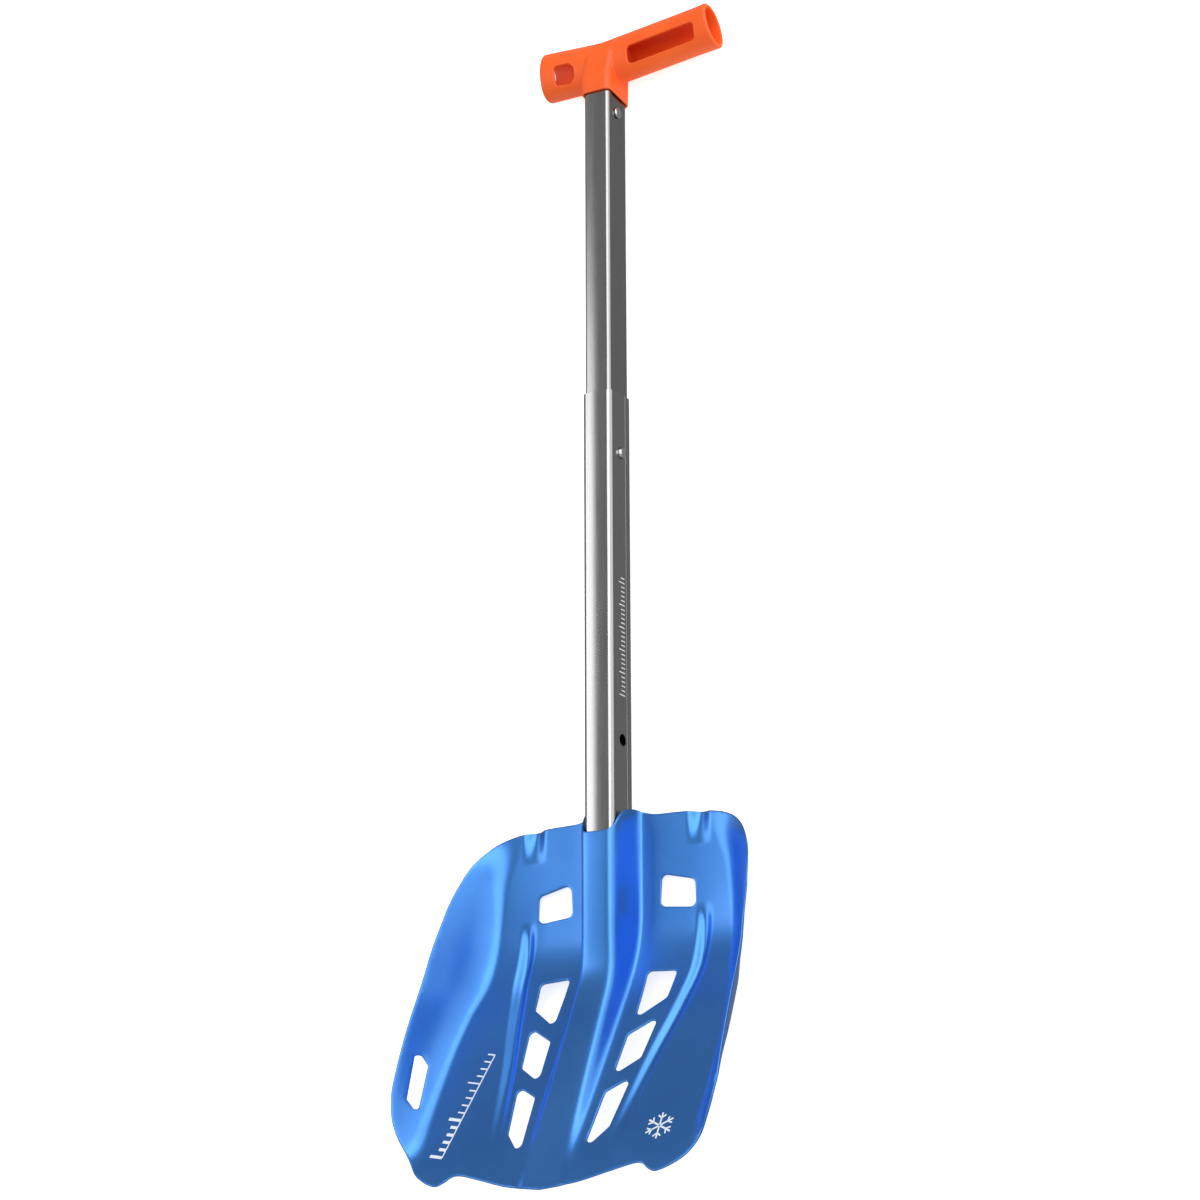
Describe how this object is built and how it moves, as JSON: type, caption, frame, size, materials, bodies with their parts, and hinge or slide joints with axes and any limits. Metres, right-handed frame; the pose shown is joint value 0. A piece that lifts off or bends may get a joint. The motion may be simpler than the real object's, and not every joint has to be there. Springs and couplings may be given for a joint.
{
  "type": "avalanche shovel",
  "caption": "Avalanche shovel: pressed sheet scoop with cut-outs, telescopic rounded-rectangle shaft with push-button locks, and an offset hollow T-grip.",
  "frame": {"origin": "under the middle of the shovel's length, on the surface it lies on when it rests on its back with the scoop up", "axes": "+X across the blade, +Y along the shaft from the blade to the grip, +Z towards the scoop side"},
  "size_m": [0.1974, 0.6774, 0.0869],
  "materials": {
    "blade_anodised": "blue satin anodised sheet",
    "shaft_aluminium": "satin, drawn lengthwise",
    "inner_shaft_aluminium": "satin, drawn lengthwise",
    "plug_plastic": "moulded",
    "grip_plastic": "fine satin mould texture",
    "bright_steel": "polished",
    "spring_steel": "plain"
  },
  "bodies": {
    "outer_shaft": {"outer_tube": "shaft_aluminium", "blade_button_spring": "spring_steel"},
    "inner_shaft": {"inner_tube": "inner_shaft_aluminium", "inner_tube_end_plug": "plug_plastic", "grip": "grip_plastic", "grip_rivet": "bright_steel", "telescope_button_spring": "spring_steel"},
    "telescope_button": {"telescope_button": "bright_steel"},
    "blade": {"blade": "blade_anodised", "socket_back_plate": "blade_anodised"},
    "blade_button": {"blade_button": "bright_steel"}
  },
  "joints": [
    {"name": "telescope_slide", "type": "slide", "parent": "outer_shaft", "child": "inner_shaft", "axis": [0, -1, 0], "range_m": [0, 0.1654], "deforming": ["telescope_button"]},
    {"name": "telescope_button_press", "type": "slide", "parent": "inner_shaft", "child": "telescope_button", "axis": [-1, 0, 0], "range_m": [0, 0.003], "stiffness_N_per_m": 1500, "deforming": ["telescope_button_spring"]},
    {"name": "blade_slide", "type": "slide", "parent": "outer_shaft", "child": "blade", "axis": [0, -1, 0], "range_m": [0, 0.09], "deforming": ["blade_button"]},
    {"name": "blade_button_press", "type": "slide", "parent": "outer_shaft", "child": "blade_button", "axis": [0, 0, 1], "range_m": [0, 0.0022], "stiffness_N_per_m": 1500, "deforming": ["blade_button_spring"]}
  ]
}
